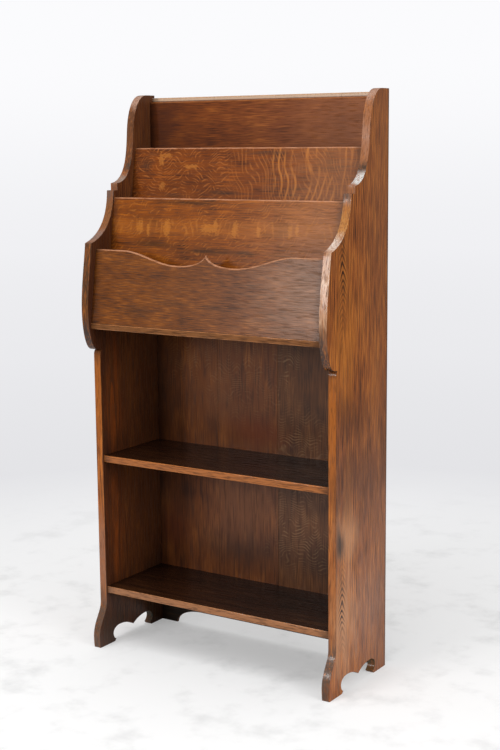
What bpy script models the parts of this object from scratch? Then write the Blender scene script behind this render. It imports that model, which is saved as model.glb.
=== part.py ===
"""Oak book stand: a sloping rack of three pockets above two open shelves.

Metres, +Z up, front towards -Y. The origin is on the floor, under the middle of the stand's box.
Depths are measured forward from the stand's rear plane, heights up from the floor.
"""

import math

import bmesh
import bpy
from mathutils import Matrix, Vector

# Carcase
STAND_WIDTH = 0.607
SIDE_THICKNESS = 0.0178
FLOOR_TO_BOTTOM_SHELF = 0.1365
COMPARTMENT_HEIGHT = 0.285
SHELF_THICKNESS = 0.0148
SHELF_SETBACK = 0.0026
EDGE_ROUND = 0.0012
FIT_GAP = 0.0003
CUT_OVERRUN = 0.003
MERGE_DISTANCE = 0.00002

# Joints cut into the side boards
HOUSING_DEPTH = 0.006
HOUSING_STOP = 0.012
REBATE_WIDTH = 0.008

# Side board outline, from the top of the crown down to the shoulder
CROWN_FLAT = 0.030
CROWN_ROUND_DEPTH = 0.0505
CROWN_ROUND_HEIGHT = 0.075
UPPER_SWEEP_DEPTH = 0.0615
UPPER_SWEEP_HEIGHT = 0.1155
STEP_RISE = 0.015
STEP_TREAD = 0.014
LOWER_SWEEP_DEPTH = 0.0795
LOWER_SWEEP_HEIGHT = 0.110

# Side board outline, the swell in front of the rack
SHOULDER_ABOVE_RACK = 0.1712
SWELL_BULGE = 0.017
SWELL_ABOVE_RACK = 0.0287
SWELL_LIP_DEPTH = 0.0265
SWELL_LIP_BELOW_RACK = 0.0590
NOTCH_BELOW_RACK = 0.0618
NOTCH_UNDERCUT = 0.005
LEDGE_ROUND_HEIGHT = 0.0105
FRONT_EDGE_SETBACK = 0.0373

# Side board outline, the feet and the cut between them
FLARE_HEIGHT = 0.097
TOE_REACH = 0.0273
TOE_HEIGHT = 0.026
TOE_UNDERCUT = 0.002
HOOK_NOSE = 0.005
HOOK_HEIGHT = 0.0048
FRONT_FOOT_LENGTH = 0.0515
ARCH_REACH = 0.0095
ARCH_REACH_HEIGHT = 0.020
ARCH_HEIGHT = 0.0355
ARCH_CROWN_SETBACK = 0.0140
CUSP_HEIGHT = 0.0215

# Rack
RACK_LEAN = math.radians(8.0)
PANEL_THICKNESS = 0.0095
RACK_BASE_THICKNESS = 0.012
RACK_BASE_SETBACK = 0.0080
RACK_BASE_LEDGE = 0.0020
PANEL_BELOW_SHOULDER = 0.0125
SCALLOP_DIP = 0.0275
SCALLOP_FLAT = 0.0707
SCALLOP_LOW = 0.070
SCALLOP_TIP_BELOW_ENDS = 0.0035
FRONT_DIVIDER_BELOW_STEP = 0.0145
FRONT_DIVIDER_SETBACK = 0.0020
REAR_DIVIDER_BELOW_CROWN = 0.0401
REAR_DIVIDER_SETBACK = 0.0057
BACK_PANEL_HEIGHT = 0.200
BACK_PANEL_BELOW_TOP = 0.0150
PANEL_EDGE_ROUND = 0.0030

# Back
BACK_THICKNESS = 0.0065
BACK_BELOW_TOP = 0.0060
BACK_TOP_ROUND = 0.0026
FIRST_SEAM_FROM_LEFT = 0.1745
MIDDLE_BOARD_WIDTH = 0.158
SEAM_GAP = 0.0006
SEAM_LAP = 0.005
last_board_most_share = 1.4

# Rear plinth
BRACKET_LENGTH = 0.0435
BRACKET_ARCH_WIDTH = 0.0675
BRACKET_ARCH_HEIGHT = 0.034
BLOCK_LEG = 0.022
BLOCK_LENGTH = 0.060
BLOCK_END_INSET = 0.1057
BLOCK_COUNT = 3

# Nails
NAIL_HEAD_RADIUS = 0.0022
NAIL_HEAD_THICKNESS = 0.0009
NAIL_RADIUS = 0.0010
NAIL_LENGTH = 0.013
NAIL_EDGE_INSET = 0.022
NAIL_SIDES = 6
side_nail_share = 0.5
plinth_nail_shares = (0.3, 0.75)

# Handles of each curve of the outlines: how far along the way from its start to its end, first in
# depth or width and then in height
crown_handle_shares = ((0.55, 0.0), (0.91, 0.40))
upper_sweep_handle_shares = ((0.057, 0.346), (0.089, 0.961))
lower_sweep_handle_shares = ((0.025, 0.45), (0.277, 0.841))
swell_handle_shares = ((0.22, 0.26), (1.0, 0.65))
swell_under_handle_shares = ((0.0, 0.48), (0.33, 0.95))
ledge_handle_shares = ((0.60, 0.05), (1.0, 0.50))
flare_handle_shares = ((0.066, 0.324), (0.945, 0.521))
toe_handle_shares = ((0.0, 0.40), (0.50, 0.80))
hook_handle_shares = ((0.55, 0.20), (1.0, 0.55))
arch_handle_shares = ((0.0, 0.58), (0.42, 1.0))
cusp_handle_shares = ((0.39, 0.0), (0.735, 0.357))
scallop_tip_handle_shares = ((0.115, 0.70), (0.514, 1.0))
scallop_rise_handle_shares = ((0.38, 0.0), (0.66, 1.0))
LONG_CURVE_STEPS = 12
SHORT_CURVE_STEPS = 6
ROUND_STEPS = 3

# Plain colours
OAK_OUTSIDE = (0.235, 0.095, 0.042)
OAK_RACK = (0.250, 0.105, 0.045)
OAK_SHELF = (0.200, 0.080, 0.035)
OAK_BACK = (0.110, 0.042, 0.022)
PINE_BLOCK = (0.300, 0.170, 0.080)
CUT_STEEL = (0.060, 0.052, 0.048)

# Heights that follow from the sizes above
bottom_shelf_top = FLOOR_TO_BOTTOM_SHELF
middle_shelf_top = bottom_shelf_top + COMPARTMENT_HEIGHT + SHELF_THICKNESS
rack_floor = middle_shelf_top + COMPARTMENT_HEIGHT + RACK_BASE_THICKNESS
shoulder_height = rack_floor + SHOULDER_ABOVE_RACK
tread_height = shoulder_height + LOWER_SWEEP_HEIGHT
step_height = tread_height + STEP_RISE
crown_base_height = step_height + UPPER_SWEEP_HEIGHT
stand_height = crown_base_height + CROWN_ROUND_HEIGHT

# Depths that follow from the sizes above
crown_depth = CROWN_FLAT + CROWN_ROUND_DEPTH
step_depth = crown_depth + UPPER_SWEEP_DEPTH
tread_depth = step_depth + STEP_TREAD
shoulder_depth = tread_depth + LOWER_SWEEP_DEPTH
stand_depth = shoulder_depth + SWELL_BULGE
front_edge_depth = stand_depth - FRONT_EDGE_SETBACK
rear_y = stand_depth / 2
shelf_front_depth = front_edge_depth - SHELF_SETBACK
rack_base_front_depth = stand_depth - RACK_BASE_SETBACK
panel_base_depth = rack_base_front_depth - RACK_BASE_LEDGE

# The back lies in a rebate: nail heads, boards and the fit in front of them
back_rear_depth = NAIL_HEAD_THICKNESS + FIT_GAP
back_front_depth = back_rear_depth + BACK_THICKNESS
rebate_depth = back_front_depth + FIT_GAP

# Half widths across the stand
inner_half = STAND_WIDTH / 2 - SIDE_THICKNESS
body_half = inner_half - FIT_GAP
housing_half = inner_half + HOUSING_DEPTH
tongue_half = housing_half - FIT_GAP
rebate_half = inner_half + REBATE_WIDTH
back_half = rebate_half - FIT_GAP


def clear_scene():
    for old in list(bpy.data.objects):
        bpy.data.objects.remove(old, do_unlink=True)


def curve_points(start, end, handle_shares, steps):
    """Points along a cubic curve, without its start. Handles are shares of the way from start to end."""
    (first_across, first_up), (second_across, second_up) = handle_shares
    way = (end[0] - start[0], end[1] - start[1])
    first = (start[0] + first_across * way[0], start[1] + first_up * way[1])
    second = (start[0] + second_across * way[0], start[1] + second_up * way[1])
    points = []
    for step in range(1, steps + 1):
        t = step / steps
        weights = ((1 - t) ** 3, 3 * t * (1 - t) ** 2, 3 * t ** 2 * (1 - t), t ** 3)
        corners = (start, first, second, end)
        points.append(tuple(sum(w * c[axis] for w, c in zip(weights, corners)) for axis in (0, 1)))
    return points


def make_material(name, colour, roughness, metallic):
    material = bpy.data.materials.new(name)
    material.use_nodes = True
    shader = material.node_tree.nodes["Principled BSDF"]
    shader.inputs["Base Color"].default_value = (*colour, 1.0)
    shader.inputs["Roughness"].default_value = roughness
    shader.inputs["Metallic"].default_value = metallic
    return material


def link_piece(name, mesh, location, parent):
    piece = bpy.data.objects.new(name, mesh)
    bpy.context.scene.collection.objects.link(piece)
    piece.location = location
    piece.parent = parent
    return piece


def mesh_from(name, shape, colour, roughness, metallic):
    """The bmesh as a mesh with faces pointing out and a material of its own."""
    bmesh.ops.recalc_face_normals(shape, faces=shape.faces)
    mesh = bpy.data.meshes.new(name)
    shape.to_mesh(mesh)
    shape.free()
    mesh.materials.append(make_material(name + "_finish", colour, roughness, metallic))
    return mesh


def add_piece(name, shape, location, colour, roughness, metallic, parent):
    return link_piece(name, mesh_from(name, shape, colour, roughness, metallic), location, parent)


def add_cutter(name, shape, location):
    """A guide body that only shapes other pieces."""
    cutter = add_piece(name, shape, location, CUT_STEEL, 0.5, 0.0, None)
    cutter.hide_render = True
    cutter.display_type = "WIRE"
    return cutter


def cut(piece, cutters):
    for cutter in cutters:
        modifier = piece.modifiers.new(cutter.name, "BOOLEAN")
        modifier.operation = "DIFFERENCE"
        modifier.solver = "EXACT"
        modifier.object = cutter


def extruded(outline, direction):
    """A bmesh solid: the flat outline, pushed along a direction."""
    shape = bmesh.new()
    face = shape.faces.new([shape.verts.new(point) for point in outline])
    grown = bmesh.ops.extrude_face_region(shape, geom=[face])
    moved = [item for item in grown["geom"] if isinstance(item, bmesh.types.BMVert)]
    bmesh.ops.translate(shape, vec=Vector(direction), verts=moved)
    return shape


def box_between(low, high):
    shape = bmesh.new()
    bmesh.ops.create_cube(shape, size=1.0)
    size = Vector(high) - Vector(low)
    middle = (Vector(high) + Vector(low)) / 2
    stretch = Matrix.Translation(middle) @ Matrix.Diagonal((*size, 1))
    bmesh.ops.transform(shape, matrix=stretch, verts=shape.verts)
    return shape


def round_edges(shape, wanted, radius):
    """Rounds the edges whose two ends both pass the test."""
    edges = [edge for edge in shape.edges if wanted(*(vert.co for vert in edge.verts))]
    bmesh.ops.bevel(shape, geom=edges, offset=radius, segments=ROUND_STEPS, profile=0.5, affect="EDGES")


def side_outline():
    """The side board's outline as (depth, height), clockwise from the rear top corner."""
    front_toe = front_edge_depth + TOE_REACH
    toe_end = front_toe - TOE_UNDERCUT
    heel = toe_end - FRONT_FOOT_LENGTH
    hook = heel - HOOK_NOSE
    reach = hook + ARCH_REACH
    arch_crown = hook - ARCH_CROWN_SETBACK
    middle = toe_end / 2
    notch_height = rack_floor - NOTCH_BELOW_RACK

    outline = [(0, stand_height), (CROWN_FLAT, stand_height)]
    crown_foot = (crown_depth, crown_base_height)
    step = (step_depth, step_height)
    outline += curve_points(outline[-1], crown_foot, crown_handle_shares, LONG_CURVE_STEPS)
    outline += curve_points(outline[-1], step, upper_sweep_handle_shares, LONG_CURVE_STEPS)
    outline += [(step_depth, tread_height), (tread_depth, tread_height)]
    outline += curve_points(
        outline[-1], (shoulder_depth, shoulder_height), lower_sweep_handle_shares, LONG_CURVE_STEPS
    )
    outline += curve_points(
        outline[-1], (stand_depth, rack_floor + SWELL_ABOVE_RACK), swell_handle_shares, LONG_CURVE_STEPS
    )
    lip = (stand_depth - SWELL_LIP_DEPTH, rack_floor - SWELL_LIP_BELOW_RACK)
    outline += curve_points(outline[-1], lip, swell_under_handle_shares, LONG_CURVE_STEPS)
    outline.append((front_edge_depth - NOTCH_UNDERCUT, notch_height))
    ledge_foot = (front_edge_depth, notch_height - LEDGE_ROUND_HEIGHT)
    outline += curve_points(outline[-1], ledge_foot, ledge_handle_shares, SHORT_CURVE_STEPS)
    outline.append((front_edge_depth, FLARE_HEIGHT))
    outline += curve_points(outline[-1], (front_toe, TOE_HEIGHT), flare_handle_shares, LONG_CURVE_STEPS)
    outline += curve_points(outline[-1], (toe_end, 0), toe_handle_shares, SHORT_CURVE_STEPS)

    # The front half of the cut between the feet. The rear half mirrors it about the middle.
    half_cut = [(heel, 0), (hook, HOOK_HEIGHT)]
    half_cut += curve_points(half_cut[-1], (reach, ARCH_REACH_HEIGHT), hook_handle_shares, SHORT_CURVE_STEPS)
    half_cut += curve_points(half_cut[-1], (arch_crown, ARCH_HEIGHT), arch_handle_shares, SHORT_CURVE_STEPS)
    half_cut += curve_points(half_cut[-1], (middle, CUSP_HEIGHT), cusp_handle_shares, LONG_CURVE_STEPS)
    outline += half_cut
    outline += [(2 * middle - depth, height) for depth, height in reversed(half_cut[:-1])]
    outline.append((0, 0))
    return outline


def side_board(name, outer_x, cutters, parent):
    points = [Vector((0, -depth, height)) for depth, height in side_outline()]
    shape = extruded(points, (SIDE_THICKNESS, 0, 0))
    board = add_piece(name, shape, (outer_x, rear_y, 0), OAK_OUTSIDE, 0.42, 0.0, parent)
    cut(board, cutters)
    return board


def shelf(name, top, thickness, front_depth, parent):
    """A board whose ends stand in stopped housings, so its front corners are notched."""
    length = front_depth - rebate_depth
    notch = length - HOUSING_STOP
    half_plan = [(body_half, length), (body_half, notch), (tongue_half, notch), (tongue_half, 0)]
    plan = half_plan + [(-across, forward) for across, forward in reversed(half_plan)]
    shape = extruded([Vector((across, -forward, 0)) for across, forward in plan], (0, 0, thickness))
    round_edges(shape, lambda a, b: a.y == b.y and a.z == b.z and a.y < CUT_OVERRUN - length, EDGE_ROUND)
    location = (0, rear_y - rebate_depth, top - thickness)
    return add_piece(name, shape, location, OAK_SHELF, 0.45, 0.0, parent)


def shelf_housing(name, top, thickness, front_depth):
    low = (-housing_half, rear_y - (front_depth - HOUSING_STOP + FIT_GAP), top - thickness - FIT_GAP)
    high = (housing_half, rear_y - rebate_depth + CUT_OVERRUN, top + FIT_GAP)
    return add_cutter(name, box_between(low, high), (0, 0, 0))


def rack_board(name, top_points, lean, base_depth, base_height, parent):
    """A rack board. Its top runs through (across, height along the board) and its foot is cut level.

    The ends stand in stopped housings, so the top corners are notched.
    """
    end_height = top_points[0][1]
    notch = end_height - HOUSING_STOP
    outline = [(tongue_half, 0), (tongue_half, notch), (body_half, notch)]
    outline += top_points
    outline += [(-body_half, notch), (-tongue_half, notch), (-tongue_half, 0)]
    shape = extruded([Vector((across, 0, height)) for across, height in outline], (0, PANEL_THICKNESS, 0))
    lowest = min(height for across, height in top_points)
    middle_thickness = PANEL_THICKNESS / 2

    def on_top(a, b):
        same_face = (a.y < middle_thickness) == (b.y < middle_thickness)
        return same_face and min(a.z, b.z) >= lowest - FIT_GAP and a.x != b.x

    for vert in shape.verts:
        if vert.co.z == 0:
            vert.co.z = vert.co.y * math.tan(lean)
    round_edges(shape, on_top, PANEL_EDGE_ROUND)
    location = (0, rear_y - base_depth, base_height)
    board = add_piece(name, shape, location, OAK_RACK, 0.40, 0.0, parent)
    board.rotation_euler = (-lean, 0, 0)
    return board


def rack_housing(name, end_height, lean, base_depth, base_height):
    low = (-housing_half, -FIT_GAP, -2 * FIT_GAP)
    high = (housing_half, PANEL_THICKNESS + FIT_GAP, end_height - HOUSING_STOP + FIT_GAP)
    cutter = add_cutter(name, box_between(low, high), (0, rear_y - base_depth, base_height))
    cutter.rotation_euler = (-lean, 0, 0)
    return cutter


def scallop_top(end_height, dip):
    """The front panel's top: level ends, two dips and a pointed middle."""
    low_height = end_height - dip
    tip = (0, end_height - SCALLOP_TIP_BELOW_ENDS)
    half = [tip]
    half += curve_points(half[-1], (SCALLOP_LOW, low_height), scallop_tip_handle_shares, LONG_CURVE_STEPS)
    half += curve_points(
        half[-1], (body_half - SCALLOP_FLAT, end_height), scallop_rise_handle_shares, LONG_CURVE_STEPS
    )
    half.append((body_half, end_height))
    return half[::-1] + [(-across, height) for across, height in half[1:]]


def back_board(name, left, right, lap_left, lap_right, bottom, top, parent):
    """A vertical board. Where it meets its neighbour, its front or its rear half laps over the other's."""
    half_thickness = BACK_THICKNESS / 2
    half_gap = SEAM_GAP / 2
    section = []
    if lap_left:
        step = half_thickness + half_gap
        under = left - SEAM_LAP + half_gap
        section += [(left + half_gap, 0), (left + half_gap, step), (under, step), (under, BACK_THICKNESS)]
    else:
        section += [(left, 0), (left, BACK_THICKNESS)]
    if lap_right:
        step = half_thickness - half_gap
        inside = right - SEAM_LAP - half_gap
        section += [(inside, BACK_THICKNESS), (inside, step), (right - half_gap, step), (right - half_gap, 0)]
    else:
        section += [(right, BACK_THICKNESS), (right, 0)]
    middle = (left + right) / 2
    points = [Vector((across - middle, behind, 0)) for across, behind in section]
    shape = extruded(points, (0, 0, top - bottom))
    round_edges(shape, lambda a, b: a.z == b.z > 0 and a.y == b.y == 0, BACK_TOP_ROUND)
    location = (middle, rear_y - back_front_depth, bottom)
    return add_piece(name, shape, location, OAK_BACK, 0.55, 0.0, parent)


def rear_plinth(height, parent):
    """The lowest board of the back, cut to a bracket foot at each end."""
    foot_end = inner_half - BRACKET_LENGTH
    arch_centre = foot_end - BRACKET_ARCH_WIDTH
    half = [(back_half, height), (back_half, 0), (foot_end, 0)]
    for step in range(1, LONG_CURVE_STEPS + 1):
        angle = math.pi / 2 * step / LONG_CURVE_STEPS
        across = arch_centre + BRACKET_ARCH_WIDTH * math.cos(angle)
        half.append((across, BRACKET_ARCH_HEIGHT * math.sin(angle)))
    outline = half + [(-across, up) for across, up in reversed(half)]
    shape = extruded([Vector((across, 0, up)) for across, up in outline], (0, BACK_THICKNESS, 0))
    return add_piece("rear_plinth", shape, (0, rear_y - back_front_depth, 0), OAK_BACK, 0.55, 0.0, parent)


def glue_blocks(top, parent):
    """Three-cornered blocks between the plinth and the underside of the bottom shelf."""
    section = ((0, 0), (BLOCK_LEG, 0), (0, BLOCK_LEG))
    corners = [Vector((-BLOCK_LENGTH / 2, -forward, -below)) for forward, below in section]
    mesh = mesh_from("plinth_block", extruded(corners, (BLOCK_LENGTH, 0, 0)), PINE_BLOCK, 0.8, 0.0)
    outer = inner_half - BLOCK_END_INSET
    spacing = 2 * outer / (BLOCK_COUNT - 1)
    for index in range(BLOCK_COUNT):
        across = index * spacing - outer
        location = (across, rear_y - rebate_depth, top - FIT_GAP)
        link_piece("plinth_block_" + str(index + 1), mesh, location, parent)


def nail_places(seams, plinth_height):
    """(across, height) of every nail: beside the seams, then into the side boards and the plinth."""
    back_panel_foot = stand_height - BACK_PANEL_BELOW_TOP - BACK_PANEL_HEIGHT
    supports = [
        bottom_shelf_top - SHELF_THICKNESS / 2,
        middle_shelf_top - SHELF_THICKNESS / 2,
        rack_floor - RACK_BASE_THICKNESS / 2,
        back_panel_foot + BACK_PANEL_HEIGHT / 2,
    ]
    beside_seams = [seam + side * NAIL_EDGE_INSET for seam in seams[1:-1] for side in (-1, 1)]
    places = [(across, height) for height in supports for across in beside_seams]
    levels = (bottom_shelf_top, middle_shelf_top, rack_floor, back_panel_foot)
    edge_heights = [low + side_nail_share * (high - low) for low, high in zip(levels, levels[1:])]
    edge_heights += [share * plinth_height for share in plinth_nail_shares]
    edge = inner_half + REBATE_WIDTH / 2
    return places + [(side * edge, height) for side in (-1, 1) for height in edge_heights]


def add_turned(shape, across, height, profile):
    """Adds a small body turned about a line along Y, from a profile of (place along Y, radius)."""
    verts = [shape.verts.new((across + radius, along, height)) for along, radius in profile]
    edges = [shape.edges.new(pair) for pair in zip(verts, verts[1:])]
    centre = Vector((across, 0, height))
    turn = 2 * math.pi
    bmesh.ops.spin(shape, geom=verts + edges, cent=centre, axis=(0, 1, 0), angle=turn, steps=NAIL_SIDES)


def nails(places, parent):
    """One nail, repeated at every place. Its origin is the middle of its head's outer face."""
    head = [(0, 0), (0, NAIL_HEAD_RADIUS), (-NAIL_HEAD_THICKNESS, NAIL_HEAD_RADIUS)]
    shank = [(-NAIL_HEAD_THICKNESS, NAIL_RADIUS), (-NAIL_LENGTH, NAIL_RADIUS), (-NAIL_LENGTH, 0)]
    shape = bmesh.new()
    add_turned(shape, 0, 0, head + shank)
    bmesh.ops.remove_doubles(shape, verts=shape.verts, dist=MERGE_DISTANCE)
    mesh = mesh_from("back_nail", shape, CUT_STEEL, 0.5, 0.8)
    for index, (across, height) in enumerate(places):
        link_piece("back_nail_%02d" % (index + 1), mesh, (across, rear_y, height), parent)


def nail_holes(places):
    mouth = rear_y + CUT_OVERRUN
    end = rear_y - NAIL_LENGTH - FIT_GAP
    radius = NAIL_RADIUS + FIT_GAP
    shape = bmesh.new()
    for across, height in places:
        add_turned(shape, across, height, [(mouth, 0), (mouth, radius), (end, radius), (end, 0)])
    bmesh.ops.remove_doubles(shape, verts=shape.verts, dist=MERGE_DISTANCE)
    return add_cutter("nail_holes", shape, (0, 0, 0))


def build():
    clear_scene()
    root = bpy.data.objects.new("book_stand", None)
    bpy.context.scene.collection.objects.link(root)

    back_top = stand_height - BACK_BELOW_TOP
    back_bottom = bottom_shelf_top - SHELF_THICKNESS
    plinth_height = back_bottom - FIT_GAP
    seams = [-back_half, FIRST_SEAM_FROM_LEFT - back_half]
    while back_half - seams[-1] > last_board_most_share * MIDDLE_BOARD_WIDTH:
        seams.append(seams[-1] + MIDDLE_BOARD_WIDTH)
    seams.append(back_half)
    places = nail_places(seams, plinth_height)
    holes = nail_holes(places)

    # Each rack board is set out from the edge of the side board that it stands behind
    stretch = 1 / math.cos(RACK_LEAN)
    board_foot = rack_floor + FIT_GAP
    panel_rise = shoulder_height - PANEL_BELOW_SHOULDER - board_foot
    front_rise = tread_height - FRONT_DIVIDER_BELOW_STEP - board_foot
    rear_rise = crown_base_height - REAR_DIVIDER_BELOW_CROWN - board_foot
    front_divider_depth = tread_depth - FRONT_DIVIDER_SETBACK + front_rise * math.tan(RACK_LEAN)
    rear_divider_depth = crown_depth - REAR_DIVIDER_SETBACK + rear_rise * math.tan(RACK_LEAN)
    back_panel_depth = rebate_depth + PANEL_THICKNESS
    back_panel_foot = stand_height - BACK_PANEL_BELOW_TOP - BACK_PANEL_HEIGHT

    # Name, height of the ends along the board, lean, depth of the front face at the foot, foot height
    rack = [
        ("front_panel", panel_rise * stretch, RACK_LEAN, panel_base_depth, board_foot),
        ("front_divider", front_rise * stretch, RACK_LEAN, front_divider_depth, board_foot),
        ("rear_divider", rear_rise * stretch, RACK_LEAN, rear_divider_depth, board_foot),
        ("rack_back_panel", BACK_PANEL_HEIGHT, 0.0, back_panel_depth, back_panel_foot),
    ]
    # Name, top, thickness, depth of the front edge
    shelves = [
        ("bottom_shelf", bottom_shelf_top, SHELF_THICKNESS, shelf_front_depth),
        ("middle_shelf", middle_shelf_top, SHELF_THICKNESS, shelf_front_depth),
        ("rack_base", rack_floor, RACK_BASE_THICKNESS, rack_base_front_depth),
    ]

    low = (-rebate_half, rear_y - rebate_depth, -CUT_OVERRUN)
    high = (rebate_half, rear_y + CUT_OVERRUN, back_top + FIT_GAP)
    cutters = [add_cutter("rear_rebate", box_between(low, high), (0, 0, 0))]
    for name, top, thickness, front_depth in shelves:
        piece = shelf(name, top, thickness, front_depth, root)
        cut(piece, [holes])
        cutters.append(shelf_housing(name + "_housing", top, thickness, front_depth))
    for name, end_height, lean, base_depth, foot in rack:
        top_points = [(body_half, end_height), (-body_half, end_height)]
        if name == "front_panel":
            top_points = scallop_top(end_height, SCALLOP_DIP * stretch)
        piece = rack_board(name, top_points, lean, base_depth, foot, root)
        if name == "rack_back_panel":
            cut(piece, [holes])
        cutters.append(rack_housing(name + "_housing", end_height, lean, base_depth, foot))
    cutters.append(holes)

    side_board("left_side_board", -STAND_WIDTH / 2, cutters, root)
    side_board("right_side_board", inner_half, cutters, root)

    last = len(seams) - 2
    for index, (left, right) in enumerate(zip(seams, seams[1:])):
        name = "back_board_" + str(index + 1)
        board = back_board(name, left, right, index > 0, index < last, back_bottom, back_top, root)
        cut(board, [holes])
    cut(rear_plinth(plinth_height, root), [holes])
    glue_blocks(back_bottom, root)
    nails(places, root)


build()
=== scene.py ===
# %% [markdown]
# # An oak book stand
#
# The stand is a tall, narrow piece of furniture: two shaped side boards, two open shelves, and a
# leaning rack of three pockets on top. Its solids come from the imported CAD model, so nothing here
# moves or resizes them. This lesson softens their edges and gives them the look of old, dark
# stained oak under a worn polish.

import math

import bmesh
import bpy
from mathutils import Matrix, Vector


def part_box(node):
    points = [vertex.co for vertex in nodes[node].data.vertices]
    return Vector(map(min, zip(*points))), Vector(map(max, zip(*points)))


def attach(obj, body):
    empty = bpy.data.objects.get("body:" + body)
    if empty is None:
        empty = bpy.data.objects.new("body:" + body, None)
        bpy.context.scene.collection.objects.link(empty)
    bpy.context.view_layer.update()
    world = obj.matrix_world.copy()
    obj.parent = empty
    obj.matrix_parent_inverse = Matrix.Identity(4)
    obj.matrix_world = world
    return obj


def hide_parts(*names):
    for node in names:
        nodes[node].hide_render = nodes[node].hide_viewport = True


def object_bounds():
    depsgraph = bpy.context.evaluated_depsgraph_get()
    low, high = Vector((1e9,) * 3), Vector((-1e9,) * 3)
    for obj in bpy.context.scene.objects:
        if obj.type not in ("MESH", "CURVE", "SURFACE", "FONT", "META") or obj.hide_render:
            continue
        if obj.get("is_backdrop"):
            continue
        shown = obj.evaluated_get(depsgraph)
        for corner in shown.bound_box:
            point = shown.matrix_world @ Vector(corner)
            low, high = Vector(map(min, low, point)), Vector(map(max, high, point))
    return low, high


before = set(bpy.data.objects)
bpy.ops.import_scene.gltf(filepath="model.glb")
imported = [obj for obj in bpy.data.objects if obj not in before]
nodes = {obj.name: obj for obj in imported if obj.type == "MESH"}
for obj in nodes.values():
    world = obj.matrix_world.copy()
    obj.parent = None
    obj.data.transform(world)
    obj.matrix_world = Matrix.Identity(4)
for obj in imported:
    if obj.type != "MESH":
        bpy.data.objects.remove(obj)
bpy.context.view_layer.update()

# %% [markdown]
# Sizes here are real ones. A joiner thinks in millimetres and Blender works in metres, so one
# value turns the first into the second. Colours are written as sRGB hex values, as an eye reads
# them off a picture, but shaders want linear light, so one function turns them.

# %% Units and colours
MM = 0.001


def linear(hex_colour):
    """A linear RGBA colour from an sRGB hex value such as "#7d4e32"."""
    channels = [int(hex_colour[place : place + 2], 16) / 255 for place in (1, 3, 5)]
    return (*(c / 12.92 if c <= 0.04045 else ((c + 0.055) / 1.055) ** 2.4 for c in channels), 1.0)


def in_metres(*sizes_mm):
    """Sizes in millimetres as a vector in metres."""
    return Vector(sizes_mm) * MM


print("mid oak in linear light:", [round(channel, 3) for channel in linear("#7d4e32")])

# %% [markdown]
# Every material and every Geometry Nodes tree below is built in the script. One small function
# adds a node: it sets the node's own settings, then gives each input either a plain value or a
# link from another node. It hands back the socket that the next node wants, which is the first
# output unless another is asked for, so a pattern can be passed on like a number. A shader node
# goes without the first half of its name in Blender, which is ShaderNode. The first thing made
# with it is what a painter does most: one tone is laid over another where a mask lets it.

# %% Add a node, lay a tone over another
SOFTLY = {"interpolation_type": "SMOOTHSTEP"}  # for a Map Range that starts and ends gently


def add(tree, kind, inputs=None, output=0, **settings):
    """A new node's output socket, or the node itself where it has none."""
    node = tree.nodes.new(kind if "Node" in kind else "ShaderNode" + kind)
    for setting, value in settings.items():
        setattr(node, setting, value)
    for socket, value in (inputs or {}).items():
        if isinstance(value, bpy.types.NodeSocket):
            tree.links.new(value, node.inputs[socket])
        else:
            node.inputs[socket].default_value = value
    return node.outputs[output] if node.outputs else node


def laid_over(tree, colour, mask, strength, tone):
    """The colour with another tone over it, as strong as that where the mask is 1."""
    shown = add(tree, "Math", {0: mask, 1: strength}, operation="MULTIPLY")
    return add(tree, "Mix", {0: shown, 6: colour, 7: linear(tone)}, output=2, data_type="RGBA")


# %% [markdown]
# The camera stands to the right of the stand's front, a little below its top, and looks slightly
# down. Its place, turn and lens were fitted to the straight edges of the photograph, so a render
# can be laid over it.

# %% Camera
CAMERA_PLACE = (1.6374, -2.4513, 1.1160)
CAMERA_TURN = math.radians(33.01)
CAMERA_DIP = math.radians(9.42)
CAMERA_ROLL = math.radians(-0.51)
FILM_HEIGHT_MM = 24.0
LENS_MM = 44.98

camera_data = bpy.data.cameras.new("camera")
camera_data.sensor_fit = "VERTICAL"
camera_data.sensor_height = FILM_HEIGHT_MM
camera_data.sensor_width = FILM_HEIGHT_MM
camera_data.lens = LENS_MM
camera = bpy.data.objects.new("camera", camera_data)
bpy.context.scene.collection.objects.link(camera)
camera.matrix_world = (
    Matrix.Translation(CAMERA_PLACE)
    @ Matrix.Rotation(CAMERA_TURN, 4, "Z")
    @ Matrix.Rotation(math.pi / 2 - CAMERA_DIP, 4, "X")
    @ Matrix.Rotation(CAMERA_ROLL, 4, "Z")
)
bpy.context.scene.camera = camera
bpy.context.scene.view_settings.view_transform = "Standard"
print("camera at", CAMERA_PLACE, "with a lens of", LENS_MM, "mm")

# %% [markdown]
# The photograph was taken in a white studio: a pale floor that runs into a pale wall with no
# corner to be seen. Both are much brighter than they need to be to light the wood. So the light
# here is set for the wood, and the eye alone is shown a brighter backdrop: Light Path says
# whether a ray comes from the camera. A reflection gets part of that backdrop too, since the real
# room is darker outside the picture.

# %% Who sees the backdrop
REFLECTED_SHARE = 0.12


def backdrop_share(tree):
    """All of the backdrop for the camera and through glass, part of it in a reflection."""
    ray = add(tree, "LightPath").node.outputs
    direct = add(tree, "Math", {0: ray["Is Camera Ray"], 1: ray["Is Transmission Ray"]}, operation="MAXIMUM")
    mirrored = add(tree, "Math", {0: ray["Is Glossy Ray"], 1: REFLECTED_SHARE}, operation="MULTIPLY")
    return add(tree, "Math", {0: direct, 1: mirrored}, operation="MAXIMUM")


# %% [markdown]
# A modelled wall would stand in the way when the stand is looked at from behind, so the floor is
# one big disc instead. Near the stand it is white paint, blotched grey by soles, that takes a real
# shadow. It is lifted a little towards white, as an over-lit studio floor looks. Further out the
# eye sees the tones of the wall there, darkest where the floor curves up. The white paint of a
# studio ends a few steps away, and an upright polished board mirrors the dim room beyond it, so
# the paint itself turns grey there.

# %% Floor disc
FLOOR_RADIUS = 12
FLOOR_SIDES = 96

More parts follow.
